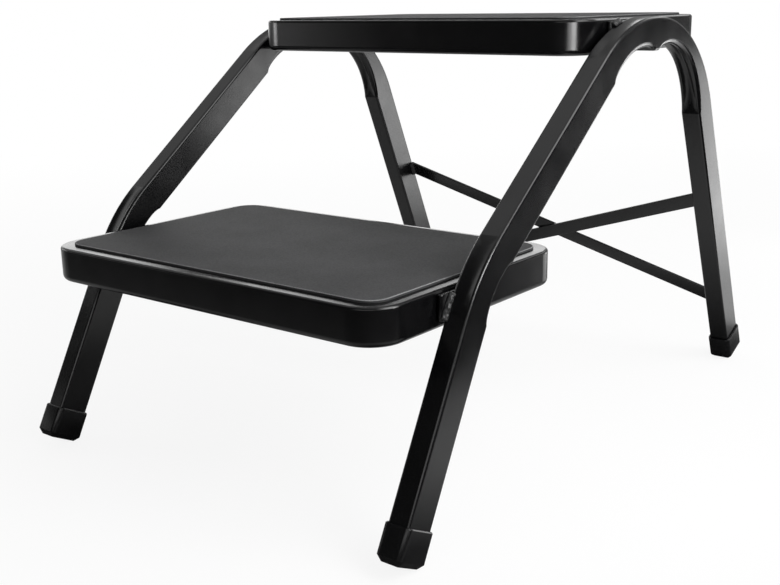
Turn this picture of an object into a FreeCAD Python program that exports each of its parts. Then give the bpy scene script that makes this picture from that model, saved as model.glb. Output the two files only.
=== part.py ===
# Double step stool: two bent side frames, two pressed trays with mats, spacers, feet, braces and welds.
# Millimetres. X runs left to right, Y from the low step to the high one, Z up, and the floor is Z = 0.
import FreeCAD, Part
import math
import os
import Sketcher
from FreeCAD import Placement, Rotation, Vector

# Driving dimensions, each written once.
sizes = {
    "tray_length": 381,  # step tray, left to right over its skirt
    "tray_depth": 255,  # step tray, front to back over its skirt
    "tray_skirt": 30.7,  # height of the tray's turned-down skirt
    "tray_sheet": 1.2,  # sheet thickness of the tray
    "tray_corner": 30,  # plan radius of the tray's corners
    "tray_shoulder": 2.5,  # radius from the tray's top into its skirt
    "tray_hem": 5,  # radius of the hem rolled inwards under the skirt
    "tray_lip": 2,  # flat lip inside that hem
    "lower_tread": 195.3,  # height of the lower tray's top
    "upper_tread": 385.2,  # height of the upper tray's top
    "lower_tray_front": -312.6,  # front of the lower tray
    "upper_tray_front": -34.6,  # front of the upper tray
    "mat_thickness": 2,  # rubber tread mat
    "mat_end_inset": 12.5,  # tray edge to mat edge at the ends
    "mat_side_inset": 12.5,  # tray edge to mat edge at front and back
    "mat_edge": 0.8,  # rounding of the mat's upper edge
    "stiffener_crown": 40,  # width of the channel under a tray
    "stiffener_height": 18,  # depth of that channel
    "stiffener_flange": 16,  # width of each of its flanges
    "stiffener_sheet": 1.5,  # its sheet thickness
    "stiffener_gap": 6,  # its end to the inside of the tray's skirt
    "tube_width": 20,  # side frame tube, left to right
    "tube_depth": 30,  # side frame tube, in the plane of its bends
    "tube_wall": 1.5,  # its wall
    "tube_corner": 2.5,  # its outer corner radius
    "front_foot": -314.35,  # centreline of the front leg where it meets the floor line
    "knee_place": -209.2,  # corner of the centreline at the lower tray
    "knee_rise": 3.9,  # that corner above the lower tray's top
    "front_top": 14.6,  # front upper corner of the centreline
    "rear_top": 152.1,  # rear upper corner of the centreline
    "rear_foot": 312.45,  # centreline of the rear leg where it meets the floor line
    "knee_radius": 145,  # centreline radius of the bend at the lower tray
    "front_top_radius": 140,  # centreline radius of the front upper bend
    "rear_top_radius": 125,  # centreline radius of the rear upper bend
    "arch_rise": 0.5,  # top of the upper bends above the upper tray's top
    "front_bend_flat": 5.8,  # how far the inside wall is crushed in along the front upper bend
    "rear_bend_flat": 11.3,  # the same along the rear upper bend, which turns further
    "bend_groove": 4,  # depth of the groove in the middle of that crushed wall
    "bend_hollow": 1.2,  # how far the outside wall sinks along the upper bends
    "bend_lip": 2.5,  # how much rounder the corners beside a crushed wall get
    "knee_flat": 3.4,  # the same four at the knee
    "knee_groove": 2.5,
    "knee_hollow": 1.4,
    "knee_lip": 1,
    "spacer_gap": 4.8,  # spacer pad, tray end to side frame
    "spacer_height": 21,  # spacer pad, top to bottom
    "spacer_drop": 2.5,  # spacer pad's top below the tray's top
    "spacer_edge": 2.3,  # rounding of the spacer's upright edges
    "spacer_lead": 2,  # lower spacer ahead of the tube at its lower edge
    "lower_spacer_length": 58,
    "upper_weld": 12,  # run of each upper weld bead, front to back
    "foot_length": 29,  # end foot, along the leg
    "foot_sole": 5,  # its floor under the tube's end
    "foot_wall": 2,  # its wall round the tube
    "foot_gap": 0.2,  # clearance between wall and tube
    "foot_chamfer": 4.5,  # chamfer round the sole
    "foot_rim": 1,  # chamfer round the foot's upper edge
    "brace_width": 15.5,  # flat bar between the rear legs
    "brace_thickness": 3,
    "brace_low": 70,  # brace end up the rear leg from the floor line
    "brace_high": 206,
    "brace_set_back": 12.5,  # meeting plane of the two braces behind the leg's centreline
    "spacer_weld": 4,  # leg of the weld beads along the spacers
    "brace_weld": 4,  # leg of the weld beads at the brace ends
    "weld_margin": 1,  # weld end to spacer edge
}
STATION_STEP = 9.0  # spacing of the sections along a bend
FEWEST_STEPS = 6  # fewest steps along any bend
LEAST_STEP = 3.0  # least spacing of two sections of a weld bead
BLUNT = 0.5  # power of a crush that keeps its depth along the bend and ends short
EVEN = 1.0  # power of a crush that is deepest in the middle and dies away to both ends
LOPSIDED = 0.85  # power that moves the deepest place of a crush towards the top of the frame
WELD_CROWN = 0.62  # middle of a bead's round face, as a share of the bead's leg
EDGE_STEPS = 200  # trial points when an edge is searched for a height or place
LEVEL_TOLERANCE = 0.01  # how flat an edge lies to count as level

doc = FreeCAD.newDocument("DoubleStep")
sheet = doc.addObject("Spreadsheet::Sheet", "Sizes")
for row, (alias, size) in enumerate(sizes.items(), start=1):
    sheet.set(f"A{row}", alias.replace("_", " "))
    sheet.set(f"B{row}", str(size))
    sheet.setAlias(f"B{row}", alias)
doc.recompute()
pieces = []


def value(alias):
    return float(sheet.get(alias))


def finish(piece, label):
    piece.Label = label
    pieces.append(piece)
    return piece


# Sketches and features shared by several pieces.
def plane(body, role):
    return next(feature for feature in body.Origin.OriginFeatures if feature.Role == role)


def new_sketch(body, name, lift):
    sketch = body.newObject("Sketcher::SketchObject", name)
    sketch.AttachmentSupport = (plane(body, "XY_Plane"), [""])
    sketch.MapMode = "FlatFace"
    if lift:
        sketch.setExpression("AttachmentOffset.Base.z", lift)
    return sketch


def bind(sketch, constraint, name, expression):
    index = sketch.addConstraint(constraint)
    sketch.renameConstraint(index, name)
    sketch.setExpression(f"Constraints.{name}", expression)


# A polygon whose corners are pairs of expressions.
def polygon_sketch(body, name, corners, lift=""):
    sketch = new_sketch(body, name, lift)
    points = [Vector(sketch.evalExpression(x), sketch.evalExpression(y), 0) for x, y in corners]
    count = len(points)
    for i in range(count):
        sketch.addGeometry(Part.LineSegment(points[i], points[(i + 1) % count]), False)
    for i in range(count):
        sketch.addConstraint(Sketcher.Constraint("Coincident", i, 2, (i + 1) % count, 1))
    for i, (x, y) in enumerate(corners):
        bind(sketch, Sketcher.Constraint("DistanceX", i, 1, points[i].x), f"x{i}", x)
        bind(sketch, Sketcher.Constraint("DistanceY", i, 1, points[i].y), f"y{i}", y)
    return sketch


def rectangle_sketch(body, name, across, along, lift=""):
    right, back = f"({across}) / 2", f"({along}) / 2"
    corners = [(f"-{right}", f"-{back}"), (right, f"-{back}"), (right, back), (f"-{right}", back)]
    return polygon_sketch(body, name, corners, lift)


# A rectangle round the origin with four equal corner arcs.
def rounded_sketch(body, name, across, along, corner, lift=""):
    sketch = new_sketch(body, name, lift)
    half_x = sketch.evalExpression(across) / 2
    half_y = sketch.evalExpression(along) / 2
    radius = sketch.evalExpression(corner)
    signs = [(1, -1), (1, 1), (-1, 1), (-1, -1)]
    centres = [Vector(sx * (half_x - radius), sy * (half_y - radius), 0) for sx, sy in signs]
    for i, centre in enumerate(centres):
        start = (i - 1) * math.pi / 2
        circle = Part.Circle(centre, Vector(0, 0, 1), radius)
        sketch.addGeometry(Part.ArcOfCircle(circle, start, start + math.pi / 2), False)
    for i in range(4):
        first = sketch.Geometry[i].EndPoint
        second = sketch.Geometry[(i + 1) % 4].StartPoint
        sketch.addGeometry(Part.LineSegment(first, second), False)
    for i in range(4):
        sketch.addConstraint(Sketcher.Constraint("Tangent", i, 2, 4 + i, 1))
        sketch.addConstraint(Sketcher.Constraint("Tangent", 4 + i, 2, (i + 1) % 4, 1))
    for i, direction in enumerate(("Vertical", "Horizontal", "Vertical", "Horizontal")):
        sketch.addConstraint(Sketcher.Constraint(direction, 4 + i))
    for i in range(1, 4):
        sketch.addConstraint(Sketcher.Constraint("Equal", 0, i))
    sketch.addConstraint(Sketcher.Constraint("Symmetric", 1, 3, 3, 3, -1, 1))
    bind(sketch, Sketcher.Constraint("DistanceX", 6, 1, 4, 1, 2 * half_x), "across", across)
    bind(sketch, Sketcher.Constraint("DistanceY", 7, 1, 5, 1, 2 * half_y), "along", along)
    bind(sketch, Sketcher.Constraint("Radius", 0, radius), "corner", corner)
    return sketch


def feature(body, kind, name, sketch, length):
    made = body.newObject(f"PartDesign::{kind}", name)
    made.Profile = sketch
    made.setExpression("Length", length)
    doc.recompute()
    return made


# Names of a feature's edges that lie at one height and reach outside a rectangle round the origin.
def edges_at(made, height, across, along):
    names = []
    for number, edge in enumerate(made.Shape.Edges, start=1):
        box = edge.BoundBox
        level = max(abs(box.ZMin - height), abs(box.ZMax - height)) < LEVEL_TOLERANCE
        reach_x = max(-box.XMin, box.XMax)
        reach_y = max(-box.YMin, box.YMax)
        if level and (reach_x > across / 2 or reach_y > along / 2):
            names.append(f"Edge{number}")
    return names


def fillet(body, name, made, height, radius, across=0, along=0):
    rounded = body.newObject("PartDesign::Fillet", name)
    rounded.Base = (made, edges_at(made, height, across, along))
    rounded.setExpression("Radius", radius)
    doc.recompute()
    return rounded


def chamfer(body, name, made, height, size):
    cut = body.newObject("PartDesign::Chamfer", name)
    cut.Base = (made, edges_at(made, height, 0, 0))
    cut.setExpression("Size", size)
    doc.recompute()
    return cut


# The side frame's centreline in the YZ plane, foot to foot, as runs and tangent bends.
def in_plane(y, z):
    return Vector(0, y, z)


knee = in_plane(value("knee_place"), value("lower_tread") + value("knee_rise"))
top_height = value("upper_tread") + value("arch_rise") - value("tube_depth") / 2
front_corner = in_plane(value("front_top"), top_height)
rear_corner = in_plane(value("rear_top"), top_height)
front_leg_up = (knee - in_plane(value("front_foot"), 0)).normalize()
rear_leg_up = (rear_corner - in_plane(value("rear_foot"), 0)).normalize()
foot_half = value("tube_depth") / 2 + value("foot_gap") + value("foot_wall")


# A foot is cut square to its leg, so it stands on one edge of its sole.
def sole_centre(floor_place, leg_up):
    height = (foot_half - value("foot_chamfer")) * abs(leg_up.y)
    return in_plane(floor_place, 0) + leg_up * (height / leg_up.z)


front_sole = sole_centre(value("front_foot"), front_leg_up)
rear_sole = sole_centre(value("rear_foot"), rear_leg_up)
front_end = front_sole + front_leg_up * value("foot_sole")
rear_end = rear_sole + rear_leg_up * value("foot_sole")


# How a bend's walls are crushed: four depths, the fading of the crush and where it is deepest.
def crush(flat, groove, hollow, lip, fade, skew, from_end=False):
    depths = {"flat": value(flat), "groove": value(groove), "hollow": value(hollow), "lip": value(lip)}
    return {"depths": depths, "fade": fade, "skew": skew, "from_end": from_end}


top_walls = ("bend_groove", "bend_hollow", "bend_lip")
knee_press = crush("knee_flat", "knee_groove", "knee_hollow", "knee_lip", BLUNT, EVEN)
front_press = crush("front_bend_flat", *top_walls, BLUNT, LOPSIDED, from_end=True)
rear_press = crush("rear_bend_flat", *top_walls, EVEN, LOPSIDED)
NO_PRESS = {"flat": 0.0, "groove": 0.0, "hollow": 0.0, "lip": 0.0}


def under_side(tangent):
    return Vector(0, tangent.z, -tangent.y)


class Run:
    def __init__(self, start, end):
        self.start = start
        self.length = (end - start).Length
        self.tangent = (end - start).normalize()

    def station(self, along):
        return self.start + self.tangent * along, self.tangent, NO_PRESS


# A bend always turns towards the under side; its walls are pressed in along its length.
class Bend:
    def __init__(self, before, corner, after, radius, press):
        self.tangent = (corner - before).normalize()
        leaving = (after - corner).normalize()
        self.turn = self.tangent.getAngle(leaving)
        setback = radius * math.tan(self.turn / 2)
        self.start = corner - self.tangent * setback
        self.end = corner + leaving * setback
        self.centre = self.start + under_side(self.tangent) * radius
        self.radius = radius
        self.length = radius * self.turn
        self.press = press

    def station(self, along):
        turned = Rotation(Vector(1, 0, 0), -math.degrees(along / self.radius))
        point = self.centre + turned.multVec(self.start - self.centre)
        share = min(max(along / self.length, 0.0), 1.0)
        if self.press["from_end"]:
            share = 1.0 - share
        swell = math.sin(math.pi * share ** self.press["skew"])
        walls = {name: depth * swell ** BLUNT for name, depth in self.press["depths"].items()}
        walls["flat"] = self.press["depths"]["flat"] * swell ** self.press["fade"]
        return point, turned.multVec(self.tangent), walls


knee_bend = Bend(front_end, knee, front_corner, value("knee_radius"), knee_press)
front_bend = Bend(knee, front_corner, rear_corner, value("front_top_radius"), front_press)
rear_bend = Bend(front_corner, rear_corner, rear_end, value("rear_top_radius"), rear_press)
path = [
    Run(front_end, knee_bend.start),
    knee_bend,
    Run(knee_bend.end, front_bend.start),
    front_bend,
    Run(front_bend.end, rear_bend.start),
    rear_bend,
    Run(rear_bend.end, rear_end),
]
frame_inner = value("tray_length") / 2 + value("spacer_gap")
frame_middle = frame_inner + value("tube_width") / 2


# A wall of the tube between two points, pressed in at its middle by a smooth amount.
def wall_edge(place, start, end, level, sink):
    third = (end - start) / 3
    dip = level + sink * 4 / 3  # the curve's middle reaches three quarters of its poles
    poles = [(start, level), (start + third, dip), (end - third, dip), (end, level)]
    curve = Part.BezierCurve()
    curve.setPoles([place(*pole) for pole in poles])
    return curve.toShape()


# One closed section of the left tube; inset is 0 for its outside and the wall for its inside.
def tube_section(station, inset):
    point, tangent, walls = station
    down = under_side(tangent)
    half = value("tube_width") / 2 - inset
    top = inset - value("tube_depth") / 2
    low = value("tube_depth") / 2 - inset - walls["flat"]
    radius = value("tube_corner") - inset
    flat = half - radius
    slack = radius * (1 - math.sqrt(0.5))
    lip = radius + walls["lip"]
    lip_flat = half - lip
    lip_slack = lip * (1 - math.sqrt(0.5))

    def place(across, depth):
        return Vector(across - frame_middle, 0, 0) + point + down * depth

    def arc(*ends):
        return Part.Arc(*[place(*end) for end in ends]).toShape()

    return Part.Wire([
        wall_edge(place, -flat, flat, top, walls["hollow"]),
        arc((flat, top), (half - slack, top + slack), (half, top + radius)),
        Part.makeLine(place(half, top + radius), place(half, low - lip)),
        arc((half, low - lip), (half - lip_slack, low - lip_slack), (lip_flat, low)),
        wall_edge(place, lip_flat, -lip_flat, low, -walls["groove"]),
        arc((-lip_flat, low), (lip_slack - half, low - lip_slack), (-half, low - lip)),
        Part.makeLine(place(-half, low - lip), place(-half, top + radius)),
        arc((-half, top + radius), (slack - half, top + slack), (-flat, top)),
    ])


def tube_length(stretch, inset):
    if isinstance(stretch, Run):
        first = Part.Face(tube_section(stretch.station(0), inset))
        return first.extrude(stretch.tangent * stretch.length)
    count = max(FEWEST_STEPS, math.ceil(stretch.length / STATION_STEP))
    stations = [stretch.station(stretch.length * i / count) for i in range(count + 1)]
    return Part.makeLoft([tube_section(station, inset) for station in stations], True)


def bent_tube():
    outside = [tube_length(stretch, 0) for stretch in path]
    inside = [tube_length(stretch, value("tube_wall")) for stretch in path]
    tube = outside[0].cut(inside[0])
    for outer, inner in zip(outside[1:], inside[1:]):
        tube = tube.fuse(outer.cut(inner))
    return tube


def mirrored(shape):
    return shape.mirror(Vector(0, 0, 0), Vector(1, 0, 0))


def shape_piece(name, shape):
    piece = doc.addObject("Part::Feature", name)
    piece.Shape = shape
    piece.Placement = Placement()
    return finish(piece, name)


left_tube = bent_tube()
shape_piece("left_side_frame", left_tube)
shape_piece("right_side_frame", mirrored(left_tube))


# A pressed tray: skirt with a rounded shoulder and an inward hem, open below.
def step_tray(label, front, tread):
    body = doc.addObject("PartDesign::Body", label)
    across, along = "Sizes.tray_length", "Sizes.tray_depth"
    outline = rounded_sketch(body, label + "_outline", across, along, "Sizes.tray_corner")
    block = feature(body, "Pad", label + "_block", outline, "Sizes.tray_skirt")
    fillet(body, label + "_shoulder", block, value("tray_skirt"), "Sizes.tray_shoulder")
    ceiling = "Sizes.tray_skirt - Sizes.tray_sheet"
    rim = "(Sizes.tray_hem + Sizes.tray_lip)"
    mouth_sizes = (f"{across} - 2 * {rim}", f"{along} - 2 * {rim}")
    mouth = rounded_sketch(body, label + "_mouth", *mouth_sizes, f"Sizes.tray_corner - {rim}", ceiling)
    feature(body, "Pocket", label + "_opening", mouth, "Sizes.tray_skirt")
    sheet_sizes = (f"{across} - 2 * Sizes.tray_sheet", f"{along} - 2 * Sizes.tray_sheet")
    inner_corner = "Sizes.tray_corner - Sizes.tray_sheet"
    inside = rounded_sketch(body, label + "_inside", *sheet_sizes, inner_corner, ceiling)
    cavity = feature(body, "Pocket", label + "_cavity", inside, "Sizes.tray_skirt - 2 * Sizes.tray_sheet")
    inner_shoulder = "Sizes.tray_shoulder - Sizes.tray_sheet"
    under = fillet(body, label + "_under_shoulder", cavity, body.evalExpression(ceiling), inner_shoulder)
    lip_edge = [body.evalExpression(f"{size} + Sizes.tray_lip") for size in mouth_sizes]
    inner_radius = "Sizes.tray_hem - Sizes.tray_sheet"
    inner_hem = fillet(body, label + "_inner_hem", under, value("tray_sheet"), inner_radius, *lip_edge)
    fillet(body, label + "_hem", inner_hem, 0, "Sizes.tray_hem", *lip_edge)
    middle = front + value("tray_depth") / 2
    body.Placement = Placement(Vector(0, middle, tread - value("tray_skirt")), Rotation())
    return finish(body, label)


def tread_mat(label, front, tread):
    body = doc.addObject("PartDesign::Body", label)
    across = "Sizes.tray_length - 2 * Sizes.mat_end_inset"
    along = "Sizes.tray_depth - 2 * Sizes.mat_side_inset"
    corner = "Sizes.tray_corner - Sizes.mat_side_inset"
    outline = rounded_sketch(body, label + "_outline", across, along, corner)
    block = feature(body, "Pad", label + "_sheet", outline, "Sizes.mat_thickness")
    fillet(body, label + "_edge", block, value("mat_thickness"), "Sizes.mat_edge")
    body.Placement = Placement(Vector(0, front + value("tray_depth") / 2, tread), Rotation())
    return finish(body, label)


# A top-hat channel under the tray, flanges up against its sheet.
def tray_stiffener(label, front, tread):
    body = doc.addObject("PartDesign::Body", label)
    across = "Sizes.tray_length - 2 * (Sizes.tray_sheet + Sizes.stiffener_gap)"
    plate_width = "Sizes.stiffener_crown + 2 * Sizes.stiffener_flange"
    inner_width = "Sizes.stiffener_crown - 2 * Sizes.stiffener_sheet"
    rise = "Sizes.stiffener_height - Sizes.stiffener_sheet"
    crown = rectangle_sketch(body, label + "_crown", across, "Sizes.stiffener_crown")
    feature(body, "Pad", label + "_channel", crown, "Sizes.stiffener_height")
    plate = rectangle_sketch(body, label + "_plate", across, plate_width, rise)
    feature(body, "Pad", label + "_flanges", plate, "Sizes.stiffener_sheet")
    hollow = rectangle_sketch(body, label + "_hollow", across, inner_width, "Sizes.stiffener_height")
    feature(body, "Pocket", label + "_inside", hollow, rise)
    seat = tread - value("tray_sheet") - value("stiffener_height")
    body.Placement = Placement(Vector(0, front + value("tray_depth") / 2, seat), Rotation())
    return finish(body, label)


for step in ("lower", "upper"):
    front = value(step + "_tray_front")
    tread = value(step + "_tread")
    step_tray(step + "_step_tray", front, tread)
    tread_mat(step + "_tread_mat", front, tread)
    tray_stiffener(step + "_tray_stiffener", front, tread)


# Where the tube's front or under edge passes a given height or place, as a distance along a stretch.
def edge_point(stretch, along, side):
    point, tangent, walls = stretch.station(along)
    depth = value("tube_depth") / 2
    if side > 0:
        depth -= walls["flat"]
    return point + under_side(tangent) * (side * depth)


def find_along(stretches, side, measure, target):
    best = None
    for stretch in stretches:
        for i in range(EDGE_STEPS + 1):
            along = stretch.length * i / EDGE_STEPS
            miss = abs(measure(edge_point(stretch, along, side)) - target)
            if best is None or miss < best[0]:
                best = (miss, stretch, along)
    return best[1], best[2]


def height_of(point):
    return point.z


def place_of(point):
    return point.y


# Spacer pads between the tray ends and the side frames.
lower_pad_top = value("lower_tread") - value("spacer_drop")
lower_pad_foot = lower_pad_top - value("spacer_height")
stretch, along = find_along(path[:3], -1, height_of, lower_pad_foot)
lower_pad_front = edge_point(stretch, along, -1).y - value("spacer_lead")
upper_pad_top = value("upper_tread") - value("spacer_drop")
margin = value("weld_margin")
crest = (height_of, upper_pad_top - margin)
front_crest = edge_point(*find_along([front_bend], -1, *crest), -1).y
rear_crest = edge_point(*find_along([rear_bend], -1, *crest), -1).y
upper_pad_front = front_crest - value("upper_weld") - margin
upper_spacer_length = f"{rear_crest - front_crest} + 2 * (Sizes.upper_weld + Sizes.weld_margin)"


def spacer(label, side, front, top, length):
    body = doc.addObject("PartDesign::Body", label)
    sides = ("Sizes.spacer_gap", length)
    outline = rounded_sketch(body, label + "_outline", *sides, "Sizes.spacer_edge")
    feature(body, "Pad", label + "_pad", outline, "Sizes.spacer_height")
    across = side * (value("tray_length") + value("spacer_gap")) / 2
    middle = front + float(body.evalExpression(length)) / 2
    body.Placement = Placement(Vector(across, middle, top - value("spacer_height")), Rotation())
    return finish(body, label)


for name, side in (("left", -1), ("right", 1)):
    spacer(f"lower_{name}_spacer", side, lower_pad_front, lower_pad_top, "Sizes.lower_spacer_length")
    spacer(f"upper_{name}_spacer", side, upper_pad_front, upper_pad_top, upper_spacer_length)


# A moulded foot pushed over a leg's end.
def leg_rotation(up):
    back = up.cross(Vector(1, 0, 0))
    return Rotation(Vector(1, 0, 0), back, up, "ZXY")


def end_foot(label, side, foot_place, up):
    body = doc.addObject("PartDesign::Body", label)
    wall = "(Sizes.foot_wall + Sizes.foot_gap)"
    across = f"Sizes.tube_width + 2 * {wall}"
    along = f"Sizes.tube_depth + 2 * {wall}"
    outline = rounded_sketch(body, label + "_outline", across, along, f"Sizes.tube_corner + {wall}")
    block = feature(body, "Pad", label + "_block", outline, "Sizes.foot_length")
    sole = chamfer(body, label + "_sole", block, 0, "Sizes.foot_chamfer")
    chamfer(body, label + "_rim", sole, value("foot_length"), "Sizes.foot_rim")
    mouth = rounded_sketch(
        body,
        label + "_mouth",
        "Sizes.tube_width + 2 * Sizes.foot_gap",
        "Sizes.tube_depth + 2 * Sizes.foot_gap",
        "Sizes.tube_corner + Sizes.foot_gap",
        "Sizes.foot_length",
    )
    feature(body, "Pocket", label + "_socket", mouth, "Sizes.foot_length - Sizes.foot_sole")
    body.Placement = Placement(Vector(side * frame_middle, 0, 0) + foot_place, leg_rotation(up))
    return finish(body, label)


for name, side in (("left", -1), ("right", 1)):
    end_foot(f"front_{name}_foot", side, front_sole, front_leg_up)
    end_foot(f"rear_{name}_foot", side, rear_sole, rear_leg_up)


# Flat bars crossing between the rear legs, in planes parallel to the legs.
brace_forward = Vector(1, 0, 0).cross(rear_leg_up)
brace_turn = Rotation(Vector(1, 0, 0), rear_leg_up, brace_forward, "ZXY")
brace_foot = in_plane(value("rear_foot"), 0)
brace_span = "(Sizes.tray_length + 2 * Sizes.spacer_gap)"
brace_slope = f"((Sizes.brace_high - Sizes.brace_low) / {brace_span})"
brace_half = f"(Sizes.brace_width / 2 * sqrt(1 + {brace_slope} * {brace_slope}))"


def cross_brace(label, left, right, set_back):
    body = doc.addObject("PartDesign::Body", label)
    inner = f"{brace_span} / 2"
    corners = [
        (f"-{inner}", f"{left} - {brace_half}"),
        (inner, f"{right} - {brace_half}"),
        (inner, f"{right} + {brace_half}"),
        (f"-{inner}", f"{left} + {brace_half}"),
    ]
    outline = polygon_sketch(body, label + "_outline", corners)
    feature(body, "Pad", label + "_bar", outline, "Sizes.brace_thickness")
    body.Placement = Placement(brace_foot - brace_forward * set_back, brace_turn)
    return finish(body, label)


front_set_back = value("brace_set_back")
back_set_back = value("brace_set_back") + value("brace_thickness")
cross_brace("front_cross_brace", "Sizes.brace_low", "Sizes.brace_high", front_set_back)
cross_brace("back_cross_brace", "Sizes.brace_high", "Sizes.brace_low", back_set_back)


# A weld bead along the edge of the left tube, against the spacer's outer face.
def bead_section(station, side):
    point, tangent, walls = station
    down = under_side(tangent)
    depth = value("tube_depth") / 2
    if side > 0:
        depth -= walls["flat"]
    leg = value("spacer_weld")

    def place(out, beyond):
        return Vector(-frame_inner - out, 0, 0) + point + down * (side * (depth + beyond))

    crown = leg * WELD_CROWN
    return Part.Wire([
        Part.makeLine(place(0, 0), place(0, leg)),
        Part.Arc(place(0, leg), place(crown, crown), place(leg, 0)).toShape(),
        Part.makeLine(place(leg, 0), place(0, 0)),
    ])


def edge_bead(stretches, side, first, last):
    start = find_along(stretches, side, *first)
    end = find_along(stretches, side, *last)
    begins = {}
    stops = []
    run = 0.0
    for stretch in stretches:
        begins[stretch] = run
        run += stretch.length
        count = max(2, math.ceil(stretch.length / STATION_STEP))
        stops += [(stretch, stretch.length * i / count) for i in range(1, count)]
    low = begins[start[0]] + start[1] + LEAST_STEP
    high = begins[end[0]] + end[1] - LEAST_STEP
    kept = [(stretch, along) for stretch, along in stops if low < begins[stretch] + along < high]
    return Part.makeLoft([bead_section(s.station(a), side) for s, a in [start, *kept, end]], True)


lower_ends = (height_of, lower_pad_foot + margin), (height_of, lower_pad_top - margin)
lower_beads = [edge_bead(path[:3], -1, *lower_ends), edge_bead(path[:3], 1, *lower_ends)]
upper_beads = [
    edge_bead([front_bend], -1, (place_of, front_crest - value("upper_weld")), crest),
    edge_bead([rear_bend], -1, crest, (place_of, rear_crest + value("upper_weld"))),
]


def welds(label, left_beads):
    beads = left_beads + [mirrored(bead) for bead in left_beads]
    return shape_piece(label, Part.makeCompound(beads))


welds("lower_spacer_welds", lower_beads)
welds("upper_spacer_welds", upper_beads)


# Beads across the front of each brace end, against the leg's inner face.
def brace_bead(height, set_back):
    leg = value("brace_weld")
    half = value("brace_width") / 2
    corner = brace_foot - brace_forward * (set_back - value("brace_thickness"))
    start = Vector(-frame_inner, 0, 0) + corner + rear_leg_up * (height - half)
    on_bar = start + Vector(leg, 0, 0)
    on_leg = start + brace_forward * leg
    crown = start + (Vector(1, 0, 0) + brace_forward) * (leg * WELD_CROWN)
    section = Part.Wire([
        Part.makeLine(start, on_bar),
        Part.Arc(on_bar, crown, on_leg).toShape(),
        Part.makeLine(on_leg, start),
    ])
    return Part.Face(section).extrude(rear_leg_up * (2 * half))


end_beads = [
    brace_bead(value("brace_low"), front_set_back),
    brace_bead(value("brace_high"), back_set_back),
    mirrored(brace_bead(value("brace_high"), front_set_back)),
    mirrored(brace_bead(value("brace_low"), back_set_back)),
]
shape_piece("brace_welds", Part.makeCompound(end_beads))

# Nothing is written unless every object built.
doc.recompute()
for item in doc.Objects:
    if "Invalid" in item.State or "Error" in item.State:
        raise RuntimeError(f"{item.Label} did not build: {item.State}")
for piece in pieces:
    if piece.Shape.isNull() or not piece.Shape.isValid():
        raise RuntimeError(f"{piece.Label} has no valid shape")
    if not piece.Shape.Solids:
        raise RuntimeError(f"{piece.Label} holds no solid")

os.makedirs("parts", exist_ok=True)
for piece in pieces:
    piece.Shape.exportStep(os.path.join("parts", piece.Label + ".step"))
    print(f"{piece.Label}: {len(piece.Shape.Solids)} solid(s), {piece.Shape.Volume / 1000:.1f} cm3")
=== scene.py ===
import math
import bmesh
import bpy
from mathutils import Matrix, Vector


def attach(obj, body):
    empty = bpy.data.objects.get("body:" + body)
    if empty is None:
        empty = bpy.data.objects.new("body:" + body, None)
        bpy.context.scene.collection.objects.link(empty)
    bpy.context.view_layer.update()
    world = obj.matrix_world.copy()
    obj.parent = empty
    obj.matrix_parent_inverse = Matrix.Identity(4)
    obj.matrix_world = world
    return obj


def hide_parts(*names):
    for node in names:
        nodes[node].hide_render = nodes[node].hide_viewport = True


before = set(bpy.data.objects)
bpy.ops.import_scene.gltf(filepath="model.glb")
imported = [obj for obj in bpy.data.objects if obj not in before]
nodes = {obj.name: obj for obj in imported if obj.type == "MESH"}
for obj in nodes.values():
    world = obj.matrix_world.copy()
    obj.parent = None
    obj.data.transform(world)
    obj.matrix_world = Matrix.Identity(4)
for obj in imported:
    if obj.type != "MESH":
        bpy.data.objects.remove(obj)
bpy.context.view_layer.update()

scene = bpy.context.scene
print("frame loaded:", len(nodes), "nodes")


# sRGB hex to the linear colour that a shader socket takes
def hexColour(code):
    parts = [int(code[i:i + 2], 16) / 255 for i in (1, 3, 5)]
    return [p / 12.92 if p <= 0.04045 else ((p + 0.055) / 1.055) ** 2.4 for p in parts] + [1.0]


# adds one node, with its settings, its socket values and its incoming links
def addNode(tree, kind, settings=None, values=None, links=None):
    node = tree.nodes.new(kind)
    for name, setting in (settings or {}).items():
        setattr(node, name, setting)
    for socket, value in (values or {}).items():
        node.inputs[socket].default_value = value
    for socket, source in (links or {}).items():
        tree.links.new(source, node.inputs[socket])
    return node


def newMaterial(name):
    material = bpy.data.materials.new(name)
    material.use_nodes = True
    tree = material.node_tree
    return material, tree, tree.nodes["Principled BSDF"]


# where the surface turns at an edge: 0 on the flat, 1 along the edge
def edgeMask(tree, look):
    rounded = addNode(
        tree, "ShaderNodeBevel",
        settings={"samples": look["edgeSamples"]}, values={"Radius": look["edgeReach"]},
    )
    surface = addNode(tree, "ShaderNodeNewGeometry")
    turn = addNode(
        tree, "ShaderNodeVectorMath", settings={"operation": "DOT_PRODUCT"},
        links={0: rounded.outputs[0], 1: surface.outputs["Normal"]},
    )
    flat, turned = look["edgeTurn"]
    edge = addNode(
        tree, "ShaderNodeMapRange",
        values={"From Min": flat, "From Max": turned}, links={"Value": turn.outputs["Value"]},
    )
    return edge.outputs[0]


# Black polyester powder coat, baked on steel: glossy and deep, with a faint orange peel,
# slow patches of more and less gloss, and a lighter grey painted along the edges as a highlight
powderCoat = {
    "colour": "#060607",
    "edgeHighlightColour": "#111112",
    "ior": 1.5,
    "roughness": (0.19, 0.25),
    "patchSize": 0.03,  # metres across a patch of gloss
    "patchDetail": 2.0,
    "patchSpread": (0.3, 0.7),  # stretch of the noise over which the gloss changes
    "peelSize": 0.003,  # metres from ripple to ripple
    "peelDetail": 1.0,
    "peelHeight": 0.000002,
    "edgeReach": 0.0015,  # metres to either side of an edge
    "edgeTurn": (0.985, 0.8),  # cosine of the turn within that reach: no painted highlight, full painted highlight
    "edgeSamples": 4,
}


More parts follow.
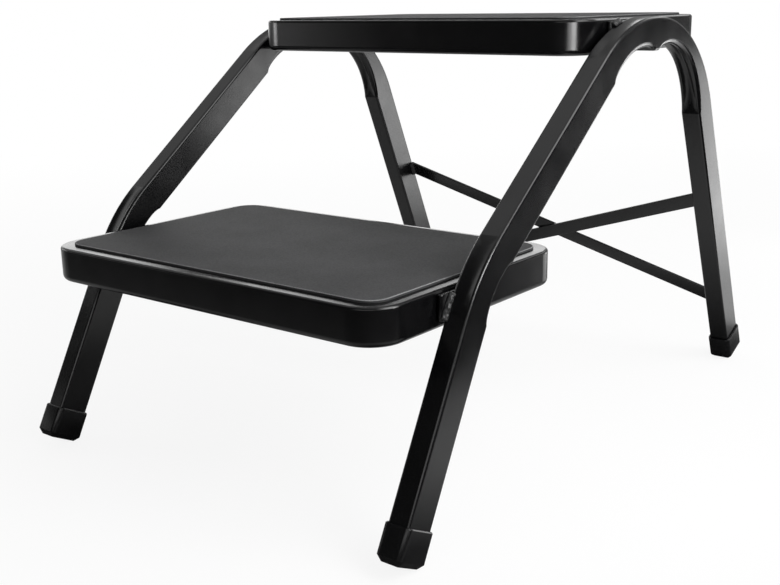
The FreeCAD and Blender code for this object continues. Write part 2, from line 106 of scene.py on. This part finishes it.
def powderCoatMaterial(name, look):
    material, tree, shader = newMaterial(name)
    shader.inputs["IOR"].default_value = look["ior"]
    place = addNode(tree, "ShaderNodeTexCoord")
    patches = addNode(
        tree, "ShaderNodeTexNoise",
        values={"Scale": 1 / look["patchSize"], "Detail": look["patchDetail"]},
        links={"Vector": place.outputs["Object"]},
    )
    start, end = look["patchSpread"]
    low, high = look["roughness"]
    gloss = addNode(
        tree, "ShaderNodeMapRange",
        values={"From Min": start, "From Max": end, "To Min": low, "To Max": high},
        links={"Value": patches.outputs["Fac"]},
    )
    # painted highlight: the coat's colour turns lighter grey along the edges
    colour = addNode(
        tree, "ShaderNodeMix", settings={"data_type": "RGBA"},
        values={"A": hexColour(look["colour"]), "B": hexColour(look["edgeHighlightColour"])},
        links={"Factor": edgeMask(tree, look)},
    )
    peel = addNode(
        tree, "ShaderNodeTexNoise",
        values={"Scale": 1 / look["peelSize"], "Detail": look["peelDetail"]},
        links={"Vector": place.outputs["Object"]},
    )
    bump = addNode(
        tree, "ShaderNodeBump",
        values={"Strength": 1.0, "Distance": look["peelHeight"]},
        links={"Height": peel.outputs["Fac"]},
    )
    tree.links.new(colour.outputs["Result"], shader.inputs["Base Color"])
    tree.links.new(gloss.outputs[0], shader.inputs["Roughness"])
    tree.links.new(bump.outputs["Normal"], shader.inputs["Normal"])
    return material


# over the weld beads the coat is duller and a shade greyer
beadCoat = {**powderCoat, "colour": "#0d0d0e", "roughness": (0.36, 0.48)}

# Moulded rubber: matt and grey-black, with a fine pebble grain, a faint bloom in patches and
# a lighter highlight painted along upper edges; a real grain of half a millimetre is too fine
# for the picture, so it is drawn coarser
matRubber = {
    "colour": "#363637",
    "bloom": "#3d3d3e",
    "bloomSize": 0.05,  # metres across a patch of bloom
    "bloomDetail": 3.0,
    "bloomSpread": (0.35, 0.65),  # stretch of the noise over which the bloom comes up
    "paintedHighlight": "#9a9a9b",
    "highlightFacing": (0.25, 0.6),  # how far up a face looks: no painted highlight, full painted highlight
    "edgeReach": 0.002,
    "edgeTurn": (0.997, 0.93),
    "edgeSamples": 4,
    "ior": 1.5,
    "shine": 0.3,
    "roughness": (0.62, 0.78),
    "grainSize": 0.0014,  # metres from pebble to pebble
    "grainHeight": 0.00006,
    "grainSoftness": 0.6,
    "grainSpan": 0.7,  # distance from a pebble's middle, in grain sizes, where it is dullest
}
# the feet are a harder, blacker moulding with a satin skin
footRubber = {
    **matRubber,
    "colour": "#070708",
    "bloom": "#0c0c0d",
    "bloomSize": 0.02,
    # a faint painted highlight along the feet's upper edges
    "paintedHighlight": "#0b0b0c",
    "edgeReach": 0.0008,
    "shine": 0.42,
    "roughness": (0.25, 0.27),
    "grainSize": 0.0012,
    "grainHeight": 0.000002,
}


def rubberMaterial(name, look):
    material, tree, shader = newMaterial(name)
    shader.inputs["IOR"].default_value = look["ior"]
    shader.inputs["Specular IOR Level"].default_value = look["shine"]
    place = addNode(tree, "ShaderNodeTexCoord")
    patches = addNode(
        tree, "ShaderNodeTexNoise",
        values={"Scale": 1 / look["bloomSize"], "Detail": look["bloomDetail"]},
        links={"Vector": place.outputs["Object"]},
    )
    start, end = look["bloomSpread"]
    bloom = addNode(
        tree, "ShaderNodeMapRange",
        values={"From Min": start, "From Max": end}, links={"Value": patches.outputs["Fac"]},
    )
    colour = addNode(
        tree, "ShaderNodeMix", settings={"data_type": "RGBA"},
        values={"A": hexColour(look["colour"]), "B": hexColour(look["bloom"])},
        links={"Factor": bloom.outputs[0]},
    )
    # painted highlight: only edges that look up are painted lighter
    surface = addNode(tree, "ShaderNodeNewGeometry")
    facing = addNode(tree, "ShaderNodeSeparateXYZ", links={"Vector": surface.outputs["Normal"]})
    kept, paintedHighlight = look["highlightFacing"]
    upward = addNode(
        tree, "ShaderNodeMapRange",
        values={"From Min": kept, "From Max": paintedHighlight}, links={"Value": facing.outputs["Z"]},
    )
    edgeHighlightMask = addNode(
        tree, "ShaderNodeMath", settings={"operation": "MULTIPLY"},
        links={0: edgeMask(tree, look), 1: upward.outputs[0]},
    )
    highlighted = addNode(
        tree, "ShaderNodeMix", settings={"data_type": "RGBA"},
        values={"B": hexColour(look["paintedHighlight"])},
        links={"Factor": edgeHighlightMask.outputs[0], "A": colour.outputs["Result"]},
    )
    grain = addNode(
        tree, "ShaderNodeTexVoronoi", settings={"feature": "SMOOTH_F1"},
        values={"Scale": 1 / look["grainSize"], "Smoothness": look["grainSoftness"]},
        links={"Vector": place.outputs["Object"]},
    )
    low, high = look["roughness"]
    gloss = addNode(
        tree, "ShaderNodeMapRange",
        values={"From Max": look["grainSpan"], "To Min": low, "To Max": high},
        links={"Value": grain.outputs["Distance"]},
    )
    bump = addNode(
        tree, "ShaderNodeBump", settings={"invert": True},
        values={"Strength": 1.0, "Distance": look["grainHeight"]},
        links={"Height": grain.outputs["Distance"]},
    )
    tree.links.new(highlighted.outputs["Result"], shader.inputs["Base Color"])
    tree.links.new(gloss.outputs[0], shader.inputs["Roughness"])
    tree.links.new(bump.outputs["Normal"], shader.inputs["Normal"])
    return material


finishes = {
    "frame_paint": powderCoatMaterial("framePowderCoat", powderCoat),
    "tray_paint": powderCoatMaterial("trayPowderCoat", powderCoat),
    "mat_rubber": rubberMaterial("treadRubber", matRubber),
    "foot_rubber": rubberMaterial("footRubber", footRubber),
}
beadFinish = powderCoatMaterial("beadPowderCoat", beadCoat)

# the word in a node's name that gives its finish; every other node has the frame's
finishWords = {"mat": "mat_rubber", "foot": "foot_rubber", "tray": "tray_paint"}


def slotOf(nodeName):
    for word, slotName in finishWords.items():
        if word in nodeName:
            return slotName
    return "frame_paint"


for name, node in nodes.items():
    node.data.materials.clear()
    node.data.materials.append(finishes[slotOf(name)])
print("finishes laid on:", ", ".join(finishes))

closing = {
    "mergeDistance": 0.000002,  # metres within which loose CAD corners become one
    "flatAngle": 0.5,  # degrees of turn under which neighbouring faces become one
}


# a piece that starts as a copy of a CAD node, closed up, with its flat faces made whole
def copyOfNode(nodeName, pieceName, wholeFaces=True):
    bm = bmesh.new()
    bm.from_mesh(nodes[nodeName].data)
    bmesh.ops.remove_doubles(bm, verts=bm.verts, dist=closing["mergeDistance"])
    bmesh.ops.recalc_face_normals(bm, faces=bm.faces)
    if wholeFaces:
        flat = math.radians(closing["flatAngle"])
        bmesh.ops.dissolve_limit(bm, angle_limit=flat, verts=bm.verts, edges=bm.edges)
    mesh = bpy.data.meshes.new(pieceName)
    bm.to_mesh(mesh)
    bm.free()
    mesh.materials.append(finishes[slotOf(nodeName)])
    mesh.shade_smooth()
    piece = bpy.data.objects.new(pieceName, mesh)
    scene.collection.objects.link(piece)
    return piece


def handOver(piece, nodeName):
    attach(piece, "root")
    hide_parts(nodeName)


# Feet, flat bars, spacers and folded stiffeners: sharp CAD edges, eased as on the real ones
easing = {
    "segments": 3,
    "sharpAngle": 32,  # degrees of turn past which an edge is eased
    "widths": {  # metres
        "front_left_foot": 0.0004,
        "front_right_foot": 0.0004,
        "rear_left_foot": 0.0004,
        "rear_right_foot": 0.0004,
        "front_cross_brace": 0.0006,
        "back_cross_brace": 0.0006,
        "lower_left_spacer": 0.001,
        "lower_right_spacer": 0.001,
        "upper_left_spacer": 0.001,
        "upper_right_spacer": 0.001,
        "lower_tray_stiffener": 0.0005,
        "upper_tray_stiffener": 0.0005,
    },
}
for name, width in easing["widths"].items():
    piece = copyOfNode(name, name + "_eased")
    bevel = piece.modifiers.new("ease", "BEVEL")
    bevel.width = width
    bevel.segments = easing["segments"]
    bevel.limit_method = "ANGLE"
    bevel.angle_limit = math.radians(easing["sharpAngle"])
    bevel.harden_normals = True
    handOver(piece, name)
print("edges eased:", len(easing["widths"]))

# Weld beads: the plain CAD fillets, swollen into the lumps and ripples of a hand-laid bead
weldBeads = {
    "lower_spacer_welds": {"voxel": 0.0005, "lump": 0.0034, "swell": 0.0011},
    "upper_spacer_welds": {"voxel": 0.0005, "lump": 0.0036, "swell": 0.0012},
    "brace_welds": {"voxel": 0.0004, "lump": 0.0026, "swell": 0.0008},
}
beadSurface = {
    "lumpDepth": 1,  # finer layers of noise on a lump
    "restLevel": 0.4,  # noise level that leaves the surface where it was
    "softShare": 0.5,
    "softPasses": 2,
}
for name, bead in weldBeads.items():
    piece = copyOfNode(name, name + "_rippled", wholeFaces=False)
    piece.data.materials[0] = beadFinish
    remesh = piece.modifiers.new("skin", "REMESH")
    remesh.mode = "VOXEL"
    remesh.voxel_size = bead["voxel"]
    remesh.use_smooth_shade = True
    lumps = bpy.data.textures.new(name + "Lumps", "CLOUDS")
    lumps.noise_scale = bead["lump"]
    lumps.noise_depth = beadSurface["lumpDepth"]
    ripple = piece.modifiers.new("ripple", "DISPLACE")
    ripple.texture = lumps
    ripple.texture_coords = "LOCAL"
    ripple.strength = bead["swell"]
    ripple.mid_level = beadSurface["restLevel"]
    soften = piece.modifiers.new("soften", "SMOOTH")
    soften.factor = beadSurface["softShare"]
    soften.iterations = beadSurface["softPasses"]
    handOver(piece, name)
print("beads rippled:", len(weldBeads))

# Floor: pale paper, white to the camera, that keeps a faint shadow; the black coat's gloss sees
# it as a grey that pales towards the back
floor = {
    "size": 30.0,
    "colour": "#f4f4f4",
    "roughness": 0.9,
    "shadowShare": 0.12,  # share of real shading in what the camera sees near the stool
    "shadowReach": (0.7, 2.2),  # metres from the middle over which that fades to plain white
    "glossDepth": (-0.8, -0.35),  # metres along Y over which gloss sees the floor grow pale
    "glossSide": (0.75, 0.4),  # the same along X, beside the stool
    "glossFar": (1.2, 3.0),  # distance over which the floor in gloss turns to its far grey
    "glossDark": 0.05,
    "glossPale": 0.72,
    "glossFarGrey": 0.22,
    "footPlace": (0.2075, 0.313, 0),
    "footShade": (0.05, 0.2),  # distance over which the shade round a foot fades in gloss
    "footDark": 0.15,
    "underPlace": (0.04, -0.15, 0),
    "underShade": (0.05, 0.17),  # the same for the shade under the lower step
    "underDark": 0.35,
}
bm = bmesh.new()
bmesh.ops.create_grid(bm, x_segments=1, y_segments=1, size=floor["size"] / 2)
floorMesh = bpy.data.meshes.new("floor")
bm.to_mesh(floorMesh)
bm.free()
floorObject = bpy.data.objects.new("floor", floorMesh)
scene.collection.objects.link(floorObject)
material, tree, paper = newMaterial("palePaperFloor")
paper.inputs["Base Color"].default_value = hexColour(floor["colour"])
paper.inputs["Roughness"].default_value = floor["roughness"]
paper.inputs["Specular IOR Level"].default_value = 0.0
place = addNode(tree, "ShaderNodeTexCoord")
axes = addNode(tree, "ShaderNodeSeparateXYZ", links={"Vector": place.outputs["Object"]})
away = addNode(
    tree, "ShaderNodeVectorMath", settings={"operation": "LENGTH"},
    links={0: place.outputs["Object"]},
)
# the four quarters of the floor folded into one, so that one foot's place serves all four
quarter = addNode(
    tree, "ShaderNodeVectorMath", settings={"operation": "ABSOLUTE"},
    links={0: place.outputs["Object"]},
)
toFoot = addNode(
    tree, "ShaderNodeVectorMath", settings={"operation": "DISTANCE"},
    values={1: floor["footPlace"]}, links={0: quarter.outputs[0]},
)
toUnder = addNode(
    tree, "ShaderNodeVectorMath", settings={"operation": "DISTANCE"},
    values={1: floor["underPlace"]}, links={0: place.outputs["Object"]},
)
# each fade: what it follows, from where to where, and its value at the two ends
fades = {
    "back": (axes.outputs["Y"], floor["glossDepth"], (floor["glossDark"], floor["glossPale"])),
    "side": (axes.outputs["X"], floor["glossSide"], (floor["glossDark"], 1.0)),
    "foot": (toFoot.outputs["Value"], floor["footShade"], (floor["footDark"], 1.0)),
    "under": (toUnder.outputs["Value"], floor["underShade"], (floor["underDark"], 1.0)),
    "far": (away.outputs["Value"], floor["glossFar"], (0.0, 1.0)),
    "shadow": (away.outputs["Value"], floor["shadowReach"], (floor["shadowShare"], 0.0)),
}
faded = {}
for name, (source, span, ends) in fades.items():
    limits = {"From Min": span[0], "From Max": span[1], "To Min": ends[0], "To Max": ends[1]}
    node = addNode(tree, "ShaderNodeMapRange", values=limits, links={"Value": source})
    faded[name] = node.outputs[0]
near = faded["back"]
for name in ("side", "foot", "under"):
    node = addNode(
        tree, "ShaderNodeMath", settings={"operation": "MULTIPLY"},
        links={0: near, 1: faded[name]},
    )
    near = node.outputs[0]
grey = addNode(
    tree, "ShaderNodeMix",
    values={"B": floor["glossFarGrey"]}, links={"Factor": faded["far"], "A": near},
)
rays = addNode(tree, "ShaderNodeLightPath")
white = addNode(tree, "ShaderNodeEmission")
seen = addNode(
    tree, "ShaderNodeMixShader",
    links={"Fac": faded["shadow"], 1: white.outputs[0], 2: paper.outputs[0]},
)
mirrored = addNode(tree, "ShaderNodeBsdfDiffuse", links={"Color": grey.outputs["Result"]})
toCamera = addNode(
    tree, "ShaderNodeMixShader",
    links={"Fac": rays.outputs["Is Camera Ray"], 1: paper.outputs[0], 2: seen.outputs[0]},
)
toGloss = addNode(
    tree, "ShaderNodeMixShader",
    links={"Fac": rays.outputs["Is Glossy Ray"], 1: toCamera.outputs[0], 2: mirrored.outputs[0]},
)
tree.links.new(toGloss.outputs[0], tree.nodes["Material Output"].inputs["Surface"])
floorMesh.materials.append(material)
print("floor laid:", floor["size"], "m across")

# Black cards on the right and behind: only gloss sees them, and they darken what the faces on
# that side mirror
blackCards = {
    "sideCard": {"from": (0.42, -0.14), "to": (0.42, 0.24), "heights": (0.0, 0.42)},
    "lowCard": {"from": (0.42, 0.24), "to": (0.42, 0.36), "heights": (0.0, 0.1)},
    "midCard": {"from": (0.42, 0.24), "to": (0.42, 0.36), "heights": (0.19, 0.42)},
    "highCard": {"from": (0.42, 0.36), "to": (0.42, 0.5), "heights": (0.24, 0.42)},
    "backCard": {"from": (0.58, 1.06), "to": (0.76, 1.0), "heights": (0.2, 0.5)},
}
cardLook = {"colour": "#101010", "roughness": 0.9}
material, tree, card = newMaterial("blackCard")
card.inputs["Base Color"].default_value = hexColour(cardLook["colour"])
card.inputs["Roughness"].default_value = cardLook["roughness"]
for name, shape in blackCards.items():
    low, high = shape["heights"]
    bm = bmesh.new()
    ends = [bm.verts.new((x, y, low)) for x, y in (shape["from"], shape["to"])]
    raised = bmesh.ops.extrude_edge_only(bm, edges=[bm.edges.new(ends)])["geom"]
    top = [part for part in raised if isinstance(part, bmesh.types.BMVert)]
    bmesh.ops.translate(bm, verts=top, vec=(0, 0, high - low))
    mesh = bpy.data.meshes.new(name)
    bm.to_mesh(mesh)
    bm.free()
    mesh.materials.append(material)
    piece = bpy.data.objects.new(name, mesh)
    scene.collection.objects.link(piece)
    for ray in ("camera", "diffuse", "transmission", "shadow"):
        setattr(piece, "visible_" + ray, False)
print("cards set up:", len(blackCards))

# World: white to the camera; as light and in gloss it is dim in front and paler behind and above
studio = {
    "frontGlow": 0.05,
    "backGlow": 0.35,
    "turnStart": -0.1,  # where it starts to pale, from -1 straight in front to 1 straight behind
    "turnEnd": 0.45,
    "rise": 0.5,  # how much height counts beside depth
}
world = bpy.data.worlds.new("studio")
scene.world = world
world.use_nodes = True
tree = world.node_tree
background = tree.nodes["Background"]
background.inputs["Color"].default_value = (1, 1, 1, 1)
direction = addNode(tree, "ShaderNodeTexCoord")
axes = addNode(tree, "ShaderNodeSeparateXYZ", links={"Vector": direction.outputs["Generated"]})
depth = addNode(
    tree, "ShaderNodeMath", settings={"operation": "MULTIPLY_ADD"},
    values={1: studio["rise"]}, links={0: axes.outputs["Z"], 2: axes.outputs["Y"]},
)
glow = addNode(
    tree, "ShaderNodeMapRange", settings={"interpolation_type": "SMOOTHSTEP"},
    values={
        "From Min": studio["turnStart"], "From Max": studio["turnEnd"],
        "To Min": studio["frontGlow"], "To Max": studio["backGlow"],
    },
    links={"Value": depth.outputs[0]},
)
rays = addNode(tree, "ShaderNodeLightPath")
straight = addNode(
    tree, "ShaderNodeMath", settings={"operation": "MAXIMUM"},
    links={0: rays.outputs["Is Camera Ray"], 1: rays.outputs["Is Transmission Ray"]},
)
strength = addNode(
    tree, "ShaderNodeMath", settings={"operation": "MAXIMUM"},
    links={0: glow.outputs["Result"], 1: straight.outputs[0]},
)
tree.links.new(strength.outputs[0], background.inputs["Strength"])

# Soft boxes; glow is about what a mirror would see of each, with white as 1
lamps = {
    "rightBox": {"place": (1.35, 0.36, 1.75), "aim": (0, 0, 0.2), "size": (1.1, 1.6), "glow": 4.0},
    "rightWing": {"place": (1.85, -0.4, 1.35), "aim": (0, 0, 0.3), "size": (0.7, 0.8), "glow": 5.0},
    "rightStrip": {"place": (2.0, -0.95, 1.1), "aim": (0, 0, 0.3), "size": (0.7, 0.6), "glow": 2.5},
    "cornerStrip": {
        "place": (0.49, -0.19, 0.355), "aim": (0.18, -0.03, 0.36), "size": (0.36, 0.09), "glow": 5.0,
    },
    "cornerSpot": {
        "place": (0.48, -0.19, 0.355), "aim": (0.18, -0.03, 0.36), "size": (0.16, 0.09), "glow": 8.0,
    },
    "frontFill": {"place": (0.9, -2.2, 1.1), "aim": (0, 0, 0.3), "size": (2.2, 0.5), "glow": 2.0},
    "leftSpot": {
        "place": (-0.833, -0.46, 0.355), "aim": (-0.17, -0.03, 0.36), "size": (0.17, 0.05), "glow": 11.0,
    },
    "leftStrip": {"place": (-1.9, -1.15, 0.3), "aim": (0, 0, 0.3), "size": (1.3, 0.25), "glow": 0.8},
    "leftFill": {"place": (-2.3, 0.1, 0.6), "aim": (0, 0, 0.3), "size": (1.4, 0.5), "glow": 1.0},
    "leftBox": {"place": (-1.63, -0.59, 1.1), "aim": (0, 0, 0.2), "size": (0.7, 0.7), "glow": 0.9},
    "topBox": {"place": (-0.3, 0.1, 2.2), "aim": (0, 0, 0.2), "size": (1.4, 1.4), "glow": 0.4},
    "topLeft": {"place": (-1.3, 0.1, 1.6), "aim": (0, 0, 0.2), "size": (0.9, 1.0), "glow": 0.2},
    "backBox": {"place": (0.3, 1.9, 1.3), "aim": (0, 0, 0.2), "size": (1.2, 0.5), "glow": 2.0},
    "backLeft": {"place": (-1.65, 1.5, 0.6), "aim": (0, -0.15, 0.2), "size": (2.0, 1.0), "glow": 1.8},
    "lowBox": {"place": (0.39, 1.05, 0.15), "aim": (0.39, 0, 0.15), "size": (0.38, 0.3), "glow": 3.6},
    "farBox": {"place": (1.6, 1.75, 0.2), "aim": (0, 0, 0.2), "size": (0.8, 0.4), "glow": 4.6},
}
# pale pools just over the floor at the back, facing up: only gloss sees them, above all the
# right rear leg's
floorPools = {
    "farPool": {"depth": 0.94, "size": (0.4, 0.2), "glow": 1.7},
    "midPool": {"depth": 0.77, "size": (0.4, 0.14), "glow": 1.1},
    "nearPool": {"depth": 0.56, "size": (0.4, 0.28), "glow": 0.7},
}
poolLine = {"side": 0.42, "lift": 0.003}  # metres along X and over the floor
for name, pool in floorPools.items():
    place = (poolLine["side"], pool["depth"], poolLine["lift"])
    aim = (poolLine["side"], pool["depth"], 1)
    lamps[name] = {"place": place, "aim": aim, "size": pool["size"], "glow": pool["glow"]}
for name, lamp in lamps.items():
    light = bpy.data.lights.new(name, "AREA")
    light.shape = "RECTANGLE"
    light.size, light.size_y = lamp["size"]
    light.energy = lamp["glow"] * math.pi * light.size * light.size_y
    piece = bpy.data.objects.new(name, light)
    place = Vector(lamp["place"])
    turn = (Vector(lamp["aim"]) - place).to_track_quat("-Z", "Y")
    piece.matrix_world = Matrix.Translation(place) @ turn.to_matrix().to_4x4()
    piece.visible_camera = False
    piece.visible_diffuse = name not in floorPools
    scene.collection.objects.link(piece)
print("studio lit:", len(lamps), "soft boxes")

# Camera, fitted to the picture
view = {
    "place": (0.64467, -0.87209, 0.40324),
    "yaw": 38.3297,  # degrees
    "tilt": 15.0383,
    "roll": -0.94495,
    "focal": 1086.855,  # in pixels of the picture
    "imageWidth": 780,
    "sensor": 36.0,
}
camera = bpy.data.cameras.new("camera")
camera.sensor_width = view["sensor"]
camera.lens = view["focal"] * view["sensor"] / view["imageWidth"]
cameraObject = bpy.data.objects.new("camera", camera)
scene.collection.objects.link(cameraObject)
cameraObject.matrix_world = (
    Matrix.Translation(Vector(view["place"]))
    @ Matrix.Rotation(math.radians(view["yaw"]), 4, "Z")
    @ Matrix.Rotation(math.radians(90 - view["tilt"]), 4, "X")
    @ Matrix.Rotation(math.radians(view["roll"]), 4, "Z")
)
scene.camera = cameraObject
scene.view_settings.view_transform = "Standard"
